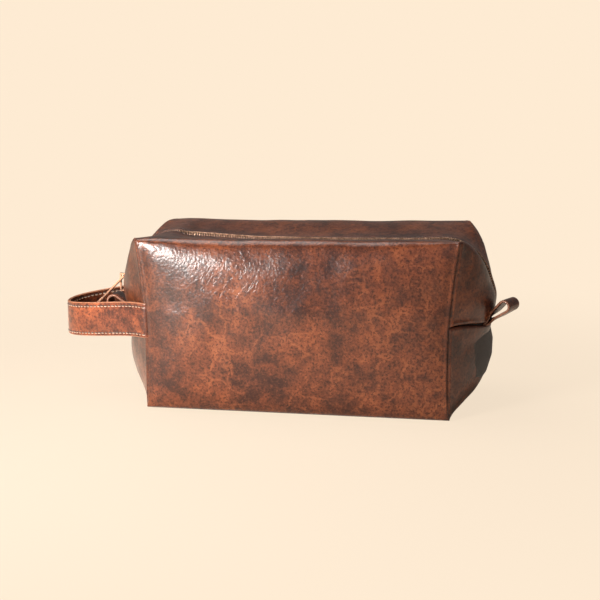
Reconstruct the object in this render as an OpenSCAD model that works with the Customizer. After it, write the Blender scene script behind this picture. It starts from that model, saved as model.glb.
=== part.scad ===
// Boxed-corner kit bag: soft leather shell, zip over the top, side handle and two end tabs.
// Origin: centre of the flat base. X runs along the bag, the handle end is -X, Y goes to the back, Z is up.

/* [Bag] */
// Length between the upright end seams, at the corners
bag_l = 240; // [200:1:280]
// Width from front face to back face
bag_w = 118; // [90:1:140]
// Height of the four top corners
bag_h = 134; // [110:1:160]
// How far each end puffs out past its upright seams
end_bulge = 28; // [15:1:40]
// How far the upright seams bow in at mid-height
seam_bow = 5; // [0:0.5:10]
// Height of the level seam across each end
seam_z = 67; // [50:1:80]
// Height at which the walls fold outwards when the mouth is opened
fold_z = 84; // [80:1:95]
// Fold radius along the base
base_fold_r = 6; // [4:0.5:12]
// Fold radius along the top edges
top_fold_r = 7; // [4:0.5:12]

/* [Layers] */
// Thickness of the leather
leather_t = 2; // [1.2:0.1:3]
// Depth of the lining's outer face below the leather's surface
lining_depth = 3.4; // [3.4:0.1:4]
// Thickness of the lining
lining_t = 0.4; // [0.3:0.1:1]

/* [Zip] */
// How far the closed zip lies below the top corners
zip_drop = 3; // [1:0.5:8]
// Radius of the zip's bend at each end
zip_r = 43; // [30:1:55]
// Half the gap between the two leather edges
zip_edge = 5; // [4:0.5:8]
// Tooth pitch along each side
tooth_pitch = 3; // [2:0.1:4]
// Tooth size along the zip
tooth_l = 1.7; // [1:0.1:2]
// Half the width of the closed chain
chain_half = 3; // [2.5:0.1:3.5]
// Angle of the slider's lower end below the widest point of the bend
slider_lo = 11; // [8:1:14]
// Angle of the slider's upper end above it
slider_hi = 7.5; // [6:0.5:9]

/* [Handle and tabs] */
// Width of the strap
strap_w = 27; // [20:1:32]
// Thickness of each of the two strap layers
strap_t = 1.2; // [0.9:0.1:1.6]
// Reach of the strap loop beyond its sewn ends
strap_reach = 80; // [60:1:95]
// Droop of the strap's far end
strap_droop = 7; // [0:1:15]
// Width of each end tab
tab_w = 17; // [12:1:22]
// Leather thickness of each end tab
tab_t = 1.8; // [1.2:0.1:2.4]
// Stitch spacing on the strap and beside the zip
stitch_pitch = 4; // [3:0.1:5]

/* [Hidden] */
hl = bag_l / 2;
hw = bag_w / 2;
zip_z = bag_h - zip_drop;
arc_z = zip_z - zip_r;
arc_x = hl + end_bulge - zip_r;
low_r = 46;
low_z = 43;
low_x = hl - sqrt(low_r * low_r - low_z * low_z);
split = 12;
gap = 0.15;
tape_top = leather_t + 0.5;
tape_bot = tape_top + 0.35;
tooth_top = 0.4;
tooth_bot = leather_t + 0.42;
strap_z = 68.9;
strap_root_x = 117.8;
strap_root_y = hw + 2.6;
strap_pivot_x = strap_root_x + strap_w / 2;
pull_deg = 5.5;
pull_r = zip_r + 3;
leather = [0.45, 0.25, 0.16];
leather_dark = [0.33, 0.19, 0.13];
cloth = [0.16, 0.13, 0.12];
tape_col = [0.25, 0.17, 0.12];
brass = [0.72, 0.55, 0.33];
thread = [0.24, 0.13, 0.09];

// ---- shape functions: o is the depth below the outer surface ----

function seam_x(z) = hl - seam_bow * 4 * z * (bag_h - z) / (bag_h * bag_h);
function wall_y(z, o) = z < base_fold_r
    ? hw - base_fold_r + sqrt(max(0, pow(base_fold_r - o, 2) - pow(base_fold_r - z, 2)))
    : hw - o;
function crest_x(z, o) = z < seam_z
    ? low_x + sqrt(max(0, pow(low_r - o, 2) - pow(z - low_z, 2)))
    : arc_x + sqrt(max(0, pow(zip_r - o, 2) - pow(z - arc_z, 2)));
function swell(w) = w < 1 ? sin(90 * w) : 1;
function ease(w) = w < 1 ? (1 - cos(180 * w)) / 2 : 1;

// A point on the left end at height z: u runs from -1 at the front seam to 1 at the back seam.
function end_point(z, u, o) =
    let (yw = wall_y(z, o), y = u * yw, w = (yw - abs(y)) / (yw - zip_edge),
         xs = seam_x(z) - o)
    [-(xs + (crest_x(z, o) - xs) * swell(w)), y, z];

// The edge that the upper panels hang from is numbered i = 0 to n_cols: up the left seam, round the fold,
// along the top edge, and down the right side.
n_seam = 6;
n_fold = 4;
n_top = 7;
n_half = n_seam + n_fold;
n_cols = 2 * n_half + 2 * n_top - 1;
deg_lo = asin((fold_z + gap - arc_z) / zip_r);
deg_mid = 34;
deg_hi = 50;

function left_edge(i, o) =
    i <= n_seam
    ? let (t = i / n_seam, z0 = fold_z + gap, z = z0 + (bag_h - top_fold_r - z0) * t)
      [-(seam_x(z) - o), -(hw - o), z]
    : i <= n_half
    ? let (a = 90 * (i - n_seam) / n_fold, z = bag_h - top_fold_r + (top_fold_r - o) * sin(a))
      [-(seam_x(z) - o), -(hw - top_fold_r + (top_fold_r - o) * cos(a)), z]
    : let (t = (i - n_half) / (n_top - 1))
      [-(seam_x(bag_h) - o) * (1 - t) - (arc_x - 6) * t, -(hw - top_fold_r), bag_h - o];
function left_zip(i, o) =
    let (a = i <= n_seam ? deg_lo + (deg_mid - deg_lo) * i / n_seam
           : i <= n_half ? deg_mid + (deg_hi - deg_mid) * (i - n_seam) / n_fold
           : deg_hi + (90 - deg_hi) * (i - n_half) / (n_top - 1))
    [-(arc_x + (zip_r - o) * cos(a)), arc_z + (zip_r - o) * sin(a)];
function flip_x(p) = len(p) == 3 ? [-p[0], p[1], p[2]] : [-p[0], p[1]];
last_left = n_half + n_top - 1;
function edge(i, o) = i <= last_left ? left_edge(i, o) : flip_x(left_edge(n_cols - i, o));
function zip(i, o) = i <= last_left ? left_zip(i, o) : flip_x(left_zip(n_cols - i, o));

// A point of the front upper skin: w runs from 0 at the edge to 1 beside the zip.
function skin_point(i, w, o) =
    let (e = edge(i, o), q = zip(i, o))
    [e[0] + (q[0] - e[0]) * swell(w), e[1] + (-zip_edge - e[1]) * w, e[2] + (q[1] - e[2]) * ease(w)];

// A front wall row between the base, t = 0, and the fold line, t = 1.
function low_row(t, o) = let (z = o + (fold_z - gap - o) * t) [wall_y(z, o), z];

// ---- solid builders ----

// Closes two grids of points, pts(k, i, j) with k = 0 outside and 1 inside, into one solid.
function slab_faces(nu, nv) =
    let (m = nv + 1, n = (nu + 1) * (nv + 1))
    concat(
        [for (i = [0:nu - 1], j = [0:nv - 1]) for (f = [0:3])
            let (a = i * m + j, b = a + m, c = b + 1, d = a + 1)
            [[a, c, b], [a, d, c], [n + a, n + b, n + c], [n + a, n + c, n + d]][f]],
        [for (i = [0:nu - 1]) for (f = [0:3])
            let (a = i * m, b = a + m, c = a + nv, d = b + nv)
            [[a, b, n + b], [a, n + b, n + a], [d, c, n + c], [d, n + c, n + d]][f]],
        [for (j = [0:nv - 1]) for (f = [0:3])
            let (a = j, b = j + 1, c = nu * m + j, d = c + 1)
            [[b, a, n + a], [b, n + a, n + b], [c, d, n + d], [c, n + d, n + c]][f]]
    );

module shell_slab(pts, nu, nv) {
    polyhedron(points = pts, faces = slab_faces(nu, nv), convexity = 6);
}

module skin_patch(i0, i1, o0, o1, w0 = 0, w1 = 1, nv = 8) {
    shell_slab([for (o = [o0, o1]) for (i = [i0:i1]) for (j = [0:nv])
        skin_point(i, w0 + (w1 - w0) * j / nv, o)], i1 - i0, nv);
}

module lower_wall(o0, o1) {
    rows = [0, 0.008, 0.02, 0.036, 0.055, 0.2, 0.4, 0.6, 0.8, 1];
    shell_slab([for (o = [o0, o1]) for (s = [-1, 1]) for (t = rows)
        let (r = low_row(t, o)) [s * (seam_x(r[1]) - o), -r[0], r[1]]], 1, len(rows) - 1);
}

module upper_wall(o0, o1) {
    shell_slab([for (o = [o0, o1]) for (s = [-1, 1]) for (j = [0:n_half])
        let (e = left_edge(j, o)) [s * -e[0], e[1], e[2]]], 1, n_half);
}

module end_wall(o0, o1) {
    rows = [0, 0.015, 0.04, 0.09, 0.17, 0.28, 0.4, 0.53, 0.66, 0.78, 0.9, 1];
    nu = 18;
    shell_slab([for (o = [o0, o1]) for (t = rows) for (j = [0:nu])
        end_point(o + (seam_z - o) * t, -1 + 2 * j / nu, o)], len(rows) - 1, nu);
}

module cheek(o0, o1) {
    nz = 4;
    nv = 9;
    shell_slab([for (o = [o0, o1]) for (i = [0:nz]) for (j = [0:nv])
        let (z = seam_z + 0.05 + (fold_z - gap - seam_z - 0.05) * i / nz, yw = wall_y(z, o),
             y = yw + (zip_edge - yw) * j / nv)
        end_point(z, -y / yw, o)], nz, nv);
}

// ---- lower body ----

module bottom_panel() {
    color(leather)
        translate([-hl + 2.6, -hw + base_fold_r + 0.05, 0])
            cube([bag_l - 5.2, bag_w - 2 * base_fold_r - 0.1, leather_t]);
}

module front_panel_lower() {
    color(leather) lower_wall(0, leather_t);
}

module back_panel_lower() {
    color(leather) mirror([0, 1, 0]) lower_wall(0, leather_t);
}

module left_end_lower() {
    color(leather_dark) end_wall(0, leather_t);
}

module right_end_lower() {
    color(leather_dark) mirror([1, 0, 0]) end_wall(0, leather_t);
}

module left_cheek_front() {
    color(leather_dark) cheek(0, leather_t);
}

module left_cheek_back() {
    color(leather_dark) mirror([0, 1, 0]) cheek(0, leather_t);
}

module right_cheek_front() {
    color(leather_dark) mirror([1, 0, 0]) cheek(0, leather_t);
}

module right_cheek_back() {
    color(leather_dark) mirror([1, 0, 0]) mirror([0, 1, 0]) cheek(0, leather_t);
}

// The lining bowl is one closed ring of columns: front, right end, back, left end.
module lining_lower() {
    us = [-1, -0.9, -0.75, -0.58, -0.4, -0.22, -0.1, -0.085, 0.085, 0.1, 0.22, 0.4, 0.58, 0.75, 0.9];
    rows = [0, 0.015, 0.035, 0.075, 0.14, 0.24, 0.36, 0.5, 0.65, 0.7905, 0.84, 0.92, 1];
    nr = len(rows);
    nu = len(us);
    nc = 2 * nu;
    top = fold_z - gap;
    function height(u, z) = abs(u) > 0.09 || z < seam_z - 1 ? z
        : seam_z - 1 + 0.7 * (z - seam_z) / (top - seam_z);
    function ring(c, t, o) =
        let (u = us[c % nu], p = end_point(height(u, o + (top - o) * t), u, o))
        c < nu ? [-p[0], p[1], p[2]] : [p[0], -p[1], p[2]];
    n = nc * nr;
    pts = [for (k = [0, 1]) for (c = [0:nc - 1]) for (t = rows)
        ring(c, t, lining_depth + k * lining_t)];
    walls = [for (c = [0:nc - 1], j = [0:nr - 2]) for (f = [0:3])
        let (a = c * nr + j, b = ((c + 1) % nc) * nr + j, e = b + 1, d = a + 1)
        [[a, e, b], [a, d, e], [n + a, n + b, n + e], [n + a, n + e, n + d]][f]];
    rims = [for (c = [0:nc - 1]) for (f = [0, 1])
        let (a = c * nr + nr - 1, b = ((c + 1) % nc) * nr + nr - 1)
        [[b, a, n + a], [b, n + a, n + b]][f]];
    caps = [[for (c = [0:nc - 1]) c * nr], [for (c = [nc - 1:-1:0]) n + c * nr]];
    color(cloth)
        polyhedron(points = pts, faces = concat(walls, rims, caps), convexity = 6);
}

// ---- upper halves ----

module shoulder(o0, o1) {
    skin_patch(0, n_half, o0, o1);
}

module top_panel(o0, o1) {
    skin_patch(n_half, n_cols - n_half, o0, o1);
}

module front_panel_upper() {
    color(leather) upper_wall(0, leather_t);
}

module back_panel_upper() {
    color(leather) mirror([0, 1, 0]) upper_wall(0, leather_t);
}

module top_panel_front() {
    color(leather) top_panel(0, leather_t);
}

module top_panel_back() {
    color(leather) mirror([0, 1, 0]) top_panel(0, leather_t);
}

module left_shoulder_front() {
    color(leather_dark) shoulder(0, leather_t);
}

module left_shoulder_back() {
    color(leather_dark) mirror([0, 1, 0]) shoulder(0, leather_t);
}

module right_shoulder_front() {
    color(leather_dark) mirror([1, 0, 0]) shoulder(0, leather_t);
}

module right_shoulder_back() {
    color(leather_dark) mirror([1, 0, 0]) mirror([0, 1, 0]) shoulder(0, leather_t);
}

// The upper lining is one sheet: a front wall whose left, top and right edges carry the skin grid.
module upper_lining() {
    nw = 7;
    n = (n_cols + 1) * (nw + 1);
    grid = [for (k = [0, 1]) for (i = [0:n_cols]) for (j = [0:nw])
        skin_point(i, j / nw, lining_depth + k * lining_t)];
    function g(k, i, j) = k * n + i * (nw + 1) + j;
    skin = [for (i = [0:n_cols - 1], j = [0:nw - 1]) for (f = [0:3])
        [[g(0, i, j), g(0, i + 1, j + 1), g(0, i + 1, j)],
         [g(0, i, j), g(0, i, j + 1), g(0, i + 1, j + 1)],
         [g(1, i, j), g(1, i + 1, j), g(1, i + 1, j + 1)],
         [g(1, i, j), g(1, i + 1, j + 1), g(1, i, j + 1)]][f]];
    zip_side = [for (i = [0:n_cols - 1]) for (f = [0, 1])
        [[g(0, i + 1, nw), g(0, i, nw), g(1, i, nw)],
         [g(0, i + 1, nw), g(1, i, nw), g(1, i + 1, nw)]][f]];
    left_side = [for (j = [0:nw - 1]) for (f = [0, 1])
        [[g(0, 0, j + 1), g(0, 0, j), g(1, 0, j)],
         [g(0, 0, j + 1), g(1, 0, j), g(1, 0, j + 1)]][f]];
    right_side = [for (j = [0:nw - 1]) for (f = [0, 1])
        [[g(0, n_cols, j), g(0, n_cols, j + 1), g(1, n_cols, j + 1)],
         [g(0, n_cols, j), g(1, n_cols, j + 1), g(1, n_cols, j)]][f]];
    wall = [for (i = [0:n_half - 2]) for (f = [0:3])
        let (r = n_cols - i)
        [[g(0, i, 0), g(0, i + 1, 0), g(0, r - 1, 0)],
         [g(0, i, 0), g(0, r - 1, 0), g(0, r, 0)],
         [g(1, i, 0), g(1, r - 1, 0), g(1, i + 1, 0)],
         [g(1, i, 0), g(1, r, 0), g(1, r - 1, 0)]][f]];
    first = n_half - 1;
    last = n_cols - n_half + 1;
    top_fan = [for (i = [n_half:last - 1]) for (f = [0, 1])
        [[g(0, first, 0), g(0, i, 0), g(0, i + 1, 0)],
         [g(1, first, 0), g(1, i + 1, 0), g(1, i, 0)]][f]];
    foot = [[g(0, 0, 0), g(0, n_cols, 0), g(1, n_cols, 0)],
            [g(0, 0, 0), g(1, n_cols, 0), g(1, 0, 0)]];
    polyhedron(points = grid,
        faces = concat(skin, zip_side, left_side, right_side, wall, top_fan, foot), convexity = 8);
}

module lining_front() {
    color(cloth) upper_lining();
}

module lining_back() {
    color(cloth) mirror([0, 1, 0]) upper_lining();
}

// ---- zip ----

// A bar of the given depth range and y range that follows the left bend from angle a0 to a1.
module bend_bar(r0, r1, y0, y1, a0, a1) {
    translate([-arc_x, 0, arc_z])
        rotate([90, 0, 0])
            rotate([0, 0, 180 - a1])
                rotate_extrude(angle = a1 - a0, $fn = 180)
                    translate([r0, 0])
                        square([r1 - r0, 0.001 + y1 - y0]);
}

module bend_strip(o0, o1, y0, y1, a0, a1) {
    translate([0, y1, 0]) bend_bar(zip_r - o1, zip_r - o0, y0, y1, a0, a1);
}

module end_tape() {
    for (m = [0, 1])
        mirror([0, m, 0]) {
            bend_strip(tape_top, tape_bot, -8.2, -1.4, asin((seam_z + 0.5 - arc_z) / zip_r), -6.2);
            bend_strip(tape_top, tape_bot, -4.6, -1.4, -6.2, split - 0.2);
        }
}

module half_tape() {
    straight = 2 * arc_x;
    union() {
        bend_strip(tape_top, tape_bot, -8.2, -1.4, split + 0.2, 90);
        mirror([1, 0, 0]) bend_strip(tape_top, tape_bot, -8.2, -1.4, split + 0.2, 90);
        translate([-arc_x, -8.2, zip_z - tape_bot])
            cube([straight, 6.8, tape_bot - tape_top]);
    }
}

module tooth() {
    translate([-tooth_l / 2, -chain_half, -tooth_bot])
        cube([tooth_l, chain_half - 0.45, tooth_bot - tooth_top]);
}

module bend_tooth(a) {
    translate([-arc_x, 0, arc_z])
        rotate([0, a - 90, 0])
            translate([0, 0, zip_r])
                tooth();
}

tooth_deg = tooth_pitch / zip_r * 180 / PI;

module end_teeth() {
    a0 = asin((seam_z + 2.5 - arc_z) / zip_r);
    n = floor((split - 1.6 - a0) / tooth_deg);
    for (m = [0, 1])
        mirror([0, m, 0])
            for (k = [0:n])
                bend_tooth(a0 + k * tooth_deg);
}

module half_teeth() {
    a0 = split + 1.8;
    n = floor((89 - a0) / tooth_deg);
    s = floor((2 * arc_x - 3) / tooth_pitch);
    for (m = [0, 1])
        mirror([m, 0, 0])
            for (k = [0:n])
                bend_tooth(a0 + k * tooth_deg);
    for (k = [0:s])
        translate([(k - s / 2) * tooth_pitch, 0, zip_z])
            tooth();
}

module stitch() {
    translate([-1.35, -7.9, 0.22])
        cube([2.7, 0.7, 0.45]);
}

module half_topstitch() {
    deg = stitch_pitch / zip_r * 180 / PI;
    n = floor((88 - split) / deg);
    s = floor((2 * arc_x - 2) / stitch_pitch);
    for (m = [0, 1])
        mirror([m, 0, 0])
            for (k = [0:n])
                translate([-arc_x, 0, arc_z])
                    rotate([0, split + k * deg - 90, 0])
                        translate([0, 0, zip_r])
                            stitch();
    for (k = [0:s])
        translate([(k - s / 2) * stitch_pitch, 0, zip_z])
            stitch();
}

module left_end_tape() {
    color(tape_col) end_tape();
}

module right_end_tape() {
    color(tape_col) mirror([1, 0, 0]) end_tape();
}

module left_end_teeth() {
    color(brass) end_teeth();
}

module right_end_teeth() {
    color(brass) mirror([1, 0, 0]) end_teeth();
}

module tape_front() {
    color(tape_col) half_tape();
}

module tape_back() {
    color(tape_col) mirror([0, 1, 0]) half_tape();
}

module teeth_front() {
    color(brass) half_teeth();
}

module teeth_back() {
    color(brass) mirror([0, 1, 0]) half_teeth();
}

module topstitch_front() {
    color(thread) half_topstitch();
}

module topstitch_back() {
    color(thread) mirror([0, 1, 0]) half_topstitch();
}

// ---- slider and puller ----

module slider_body() {
    color(brass)
        union() {
            bend_strip(-1.7, -0.3, -4.3, 4.3, -slider_lo, slider_hi);
            bend_strip(-1.7, 1.9, -4.3, -3.35, -slider_lo, slider_hi);
            bend_strip(-1.7, 1.9, 3.35, 4.3, -slider_lo, slider_hi);
            bend_strip(-0.5, 3.4, -0.15, 0.15, -slider_lo, 2.5 - slider_lo);
            bend_strip(3.15, 3.85, -4.3, 4.3, -slider_lo, slider_hi);
        }
}

module slider_bail() {
    color(brass)
        difference() {
            bend_strip(-6.4, -1.7, -1, 1, -slider_lo + 1.5, slider_hi + 0.8);
            bend_strip(-5, -2, -2, 2, -slider_lo + 3.5, slider_hi - 0.5);
        }
}

// Flat bar with a slotted eye: local X runs along the bar from the pin, local Z is its thickness.
module puller() {
    color(brass)
        translate([-arc_x - pull_r * cos(pull_deg), 0, arc_z + pull_r * sin(pull_deg)])
            rotate([0, -225, 0]) {
                rotate([90, 0, 0])
                    cylinder(r = 0.6, h = 6.4, center = true, $fn = 48);
                difference() {
                    union() {
                        translate([0, -4, -0.6])
                            cube([34, 8, 1.2]);
                        translate([34, 0, -0.6])
                            cylinder(r = 4, h = 1.2, $fn = 64);
                        rotate([90, 0, 0])
                            cylinder(r = 0.9, h = 8, center = true, $fn = 48);
                    }
                    translate([-2, -1.6, -2])
                        cube([8, 3.2, 4]);
                }
            }
}

// ---- strap handle ----

tip_r = 22;
strap_dir = atan2(strap_root_y, strap_reach - tip_r);
strap_run = sqrt(pow(strap_root_y, 2) + pow(strap_reach - tip_r, 2) - tip_r * tip_r);
strap_slope = strap_dir - atan2(tip_r, strap_run);

// Plan curve of the front half at depth e below the outer face: straight to the tip, then round it.
function strap_lane(e) = concat(
    [[-strap_root_x + e * sin(strap_slope), -strap_root_y + e * cos(strap_slope)]],
    [for (k = [0:10])
        let (q = strap_slope + (90 - strap_slope) * k / 10)
        [-(strap_root_x + strap_reach - tip_r) - (tip_r - e) * sin(q), -(tip_r - e) * cos(q)]]);
function strap_curve(e) =
    let (f = strap_lane(e), n = len(f))
    concat(f, [for (k = [n - 2:-1:0]) [f[k][0], -f[k][1]]]);

module strap_layer(e0, e1) {
    outer = strap_curve(e0);
    inner = strap_curve(e1);
    m = len(inner);
    intersection() {
        translate([0, 0, strap_z - strap_w / 2])
            linear_extrude(height = strap_w)
                polygon(concat(outer, [for (k = [m - 1:-1:0]) inner[k]]));
        union() {
            translate([-strap_pivot_x, 0, strap_z])
                rotate([90, 0, 0])
                    cylinder(r = strap_w / 2, h = 3 * hw, center = true, $fn = 96);
            translate([-strap_pivot_x - 120, -2 * hw, strap_z - strap_w / 2])
                cube([120, 4 * hw, strap_w]);
        }
    }
}

module droop() {
    translate([-strap_pivot_x, 0, strap_z])
        rotate([0, -strap_droop, 0])
            translate([strap_pivot_x, 0, -strap_z])
                children();
}

module handle_outer() {
    color(leather) droop() strap_layer(0, strap_t);
}

module handle_inner() {
    color(leather_dark) droop() strap_layer(strap_t + 0.02, 2 * strap_t);
}

module strap_stitches() {
    n = floor((strap_run - 8) / stitch_pitch);
    for (m = [0, 1])
        mirror([0, m, 0])
            for (k = [0:n], s = [-1, 1])
                translate([-strap_root_x, -strap_root_y, strap_z + s * (strap_w / 2 - 2.8)])
                    rotate([0, 0, 180 - strap_slope])
                        translate([6 + k * stitch_pitch, 0.02, -0.35])
                            cube([2.8, 0.45, 0.7]);
}

module handle_stitching() {
    color(thread) droop() strap_stitches();
}

// ---- end tabs ----

// Round end of a folded strip's side profile: radius r about (c, 0), tangent to lines from (x0, 0).
function fold_end(c, r, x0) =
    let (s = asin(r / (c - x0)))
    [for (k = [0:20]) let (a = (90 + s) * (k / 10 - 1)) [c + r * cos(a), r * sin(a)]];

module tab(l, r) {
    c = l - r;
    apex = tab_t * c / r;
    rotate([90, 0, 0])
        linear_extrude(height = tab_w, center = true)
            difference() {
                polygon(concat([[0, 1.4], [0, -1.4]], fold_end(c, r, 0)));
                polygon(concat([[apex, 0]], fold_end(c, r - tab_t, apex)));
            }
}

module left_tab() {
    color(leather_dark)
        translate([-crest_x(seam_z, 0) - 1.8, 0, seam_z])
            rotate([0, -18, 180])
                tab(24, 5.2);
}

module right_tab() {
    color(leather_dark)
        translate([crest_x(seam_z, 0) + 2.7, -12, seam_z])
            rotate([0, -40, -26])
                tab(28, 5);
}

bottom_panel();
front_panel_lower();
back_panel_lower();
left_end_lower();
right_end_lower();
left_cheek_front();
left_cheek_back();
right_cheek_front();
right_cheek_back();
lining_lower();
left_end_tape();
right_end_tape();
left_end_teeth();
right_end_teeth();
front_panel_upper();
top_panel_front();
left_shoulder_front();
right_shoulder_front();
lining_front();
tape_front();
teeth_front();
topstitch_front();
back_panel_upper();
top_panel_back();
left_shoulder_back();
right_shoulder_back();
lining_back();
tape_back();
teeth_back();
topstitch_back();
slider_body();
slider_bail();
puller();
handle_outer();
handle_inner();
handle_stitching();
left_tab();
right_tab();
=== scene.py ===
import math

import bpy
import numpy as np
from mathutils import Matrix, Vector, noise


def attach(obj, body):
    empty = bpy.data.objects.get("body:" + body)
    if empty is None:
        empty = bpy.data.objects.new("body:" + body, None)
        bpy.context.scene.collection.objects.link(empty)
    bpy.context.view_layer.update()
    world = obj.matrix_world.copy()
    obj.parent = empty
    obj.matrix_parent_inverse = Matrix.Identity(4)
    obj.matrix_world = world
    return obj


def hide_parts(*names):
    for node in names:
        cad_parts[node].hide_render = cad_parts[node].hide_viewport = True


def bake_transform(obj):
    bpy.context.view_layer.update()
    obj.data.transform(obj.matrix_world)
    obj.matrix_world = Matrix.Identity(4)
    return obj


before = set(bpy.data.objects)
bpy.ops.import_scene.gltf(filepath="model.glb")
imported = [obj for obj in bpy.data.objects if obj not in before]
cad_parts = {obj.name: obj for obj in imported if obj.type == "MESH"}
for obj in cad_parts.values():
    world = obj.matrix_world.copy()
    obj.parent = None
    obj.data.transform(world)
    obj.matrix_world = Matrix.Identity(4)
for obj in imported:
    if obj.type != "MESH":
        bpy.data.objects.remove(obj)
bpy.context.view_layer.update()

# Sizes are in millimetres, and make() scales them to metres. The main ones are those of the CAD source.
MM = 0.001
HALF_L, HALF_W, BAG_H = 120.0, 59.0, 134.0
SEAM_Z = 67.0
# The zip bends round these centres at the ends, and the lower ends bulge on a circle of their own.
ARC_X, ARC_Z, ARC_R = 105.0, 88.0, 43.0
LOW_R, LOW_Z = 46.0, 43.0
LOW_X = HALF_L - math.sqrt(LOW_R**2 - LOW_Z**2)
ZIP_EDGE = 5.0
SKIN_WIDTH = HALF_W - ZIP_EDGE
TOP_STITCH_Y = 7.55
ARC_FOOT = 84.15
BASE_FOLD = 3.2
BASE_Z = 0.05
LEATHER_T, LINING_T, TAPE_T = 1.1, 0.4, 0.4


# ---------------------------------------------------------------- shape functions

def smooth(t):
    t = np.clip(t, 0, 1)
    return t * t * (3 - 2 * t)


def seam_x(z):
    """Half length at the corner seams: narrowest a third of the way up and widest at the top."""
    return 116.9 - 0.08065 * z + 0.0009527 * z * z


def crest_x(z):
    """Half length on the middle line, over the two bulges of an end."""
    low = LOW_X + np.sqrt(np.maximum(0, LOW_R**2 - (z - LOW_Z) ** 2))
    low = low - 3.1 * np.maximum(0, 1 - z / 25) ** 2
    high = ARC_X + np.sqrt(np.maximum(0, ARC_R**2 - (z - ARC_Z) ** 2))
    return np.where(z < SEAM_Z, low, high)


def swell(w):
    return np.sin(np.pi / 2 * np.clip(w, 0, 1))


def ease(w):
    return (1 - np.cos(np.pi * np.clip(w, 0, 1))) / 2


def top_fold(x):
    """Radius of the rounded long top edge: tight at the corners and fuller between them."""
    return 2.2 + 3.0 * smooth((HALF_L - np.abs(x)) / 50)


ZIP_SAG_X = [-148, -135, -122, -108, -100, -90, -70, -40, 0, 40, 80, 109, 122, 135, 143, 148]
ZIP_SAG = [0.0, 0.0, 0.2, 0.3, 0.8, 1.5, 0.5, -1.2, -1.6, -1.0, -0.2, 1.2, 2.0, 1.7, 0.8, 0.0]


def zip_sag(x):
    """How far the zip line lies above its straight run at x."""
    return np.interp(x, ZIP_SAG_X, ZIP_SAG)


def zip_dip(points):
    """Lowers the zip edge of the front half along the top. The back half is mirrored, so it dips as well."""
    x, y, z = points.T
    bend = np.clip(np.abs(x) - ARC_X, 0, None) * np.sign(x)
    rise = z - ARC_Z
    reach = np.maximum(np.hypot(bend, rise), 1)
    front = np.clip((4 - y) / 8, 0, 1) * smooth((57 + y) / 45)
    left = smooth((x + 107) / 16)
    right = smooth((rise + 8) / 22)
    near = smooth((reach - 24) / 12)
    depth = 4.2 - 1.6 * smooth((x + 70) / 70) + 0.8 * smooth((x - 105) / 20)
    drop = depth * front * left * right * near
    return np.stack([x - bend / reach * drop, y, z - rise / reach * drop], -1)


def settle(points):
    """Last shape of the body's soft parts: the zip dips, the level seams climb to the corners, the top is a
    little out of level, and the left end is drawn in below its seam. The back half and the right lower end
    are mirrored from the results, so they share these shapes."""
    x, y, z = zip_dip(points).T
    climb = 5.0 * smooth((np.abs(y) - 10) / 44) * np.exp(-(((z - SEAM_Z) / 15) ** 2))
    tilt = x / 123 * smooth((z - 60) / 70) * np.where(y < 0, 2.0 * -y / 57, -1.0 * y / 57)
    rise = smooth((z - 60) / 70) * np.where(y > 0, 0.9 * y / 57, 0)
    slim = np.where(x < -117, 0.22 * smooth((66 - z) / 14), 0)
    return np.stack([x - (x + 117) * slim, y, z + climb + tilt + rise], -1)


def near_edge(limit):
    """Distances from a seam, close together beside it."""
    first = [0, 0.12, 0.35, 0.65, 1.0, 1.4, 1.9, 2.5, 3.3, 4.4, 6.0, 8.0]
    return [d for d in first if d < limit]


def hump(d, centre, width):
    return np.exp(-(((d - centre) / width) ** 2))


def seam_lip(d, lip):
    """Height of leather at distance d from a sewn edge: it rolls over and tucks into the seam."""
    return lip * hump(d, 1.9, 1.1) - 1.2 * hump(d, 0, 0.75) - 2 * hump(d, 0, 0.1)


def stitch_valley(y):
    """Height beside the zip: the folded lip stands up and the row of stitches pulls the leather down."""
    return 0.22 * hump(y, -6.1, 0.6) - 0.22 * hump(y, -TOP_STITCH_Y, 0.5)


def grid_faces(index):
    """Quads over a 2-D array of vertex numbers."""
    a, b, c, d = index[:-1, :-1], index[1:, :-1], index[1:, 1:], index[:-1, 1:]
    return np.stack([a, b, c, d], -1).reshape(-1, 4)


def vertex_normals(points, faces):
    n = np.zeros_like(points)
    quads = np.asarray(faces)
    a, b, c, d = (points[quads[:, k]] for k in range(4))
    face = np.cross(c - a, d - b)
    for k in range(4):
        np.add.at(n, quads[:, k], face)
    return n / np.maximum(np.linalg.norm(n, axis=1), 1e-9)[:, None]


def fractal(points, size, seed):
    shift = Vector((seed * 7.3, seed * 3.1, seed * 5.7))
    return np.array([noise.noise(Vector(p) / size + shift) for p in points])


def outward(points, faces):
    """Turns all faces round if most of them look at the middle of the bag."""
    faces = np.asarray(faces)
    n = vertex_normals(points, faces)
    return faces if ((points - np.array((0, 0, SEAM_Z))) * n).sum() > 0 else faces[:, ::-1]


def make(name, points, faces, material):
    mesh = bpy.data.meshes.new(name)
    points = np.asarray(points, float) * MM
    mesh.from_pydata(points.tolist(), [], [list(map(int, f)) for f in faces])
    rest = mesh.attributes.new("rest", "FLOAT_VECTOR", "POINT")
    rest.data.foreach_set("vector", points.astype(np.float32).ravel())
    mesh.shade_smooth()
    mesh.materials.append(material)
    obj = bpy.data.objects.new(name, mesh)
    bpy.context.scene.collection.objects.link(obj)
    return obj


def thicken(obj, thickness):
    """Gives the sheet a thickness towards its inside."""
    m = obj.modifiers.new("thickness", "SOLIDIFY")
    m.thickness = thickness * MM
    m.offset = -1.0
    return obj


def mirrored(points, faces, axis):
    flipped = np.array(points)
    flipped[:, axis] *= -1
    return flipped, np.asarray(faces)[:, ::-1]


# ---------------------------------------------------------------- materials

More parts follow.
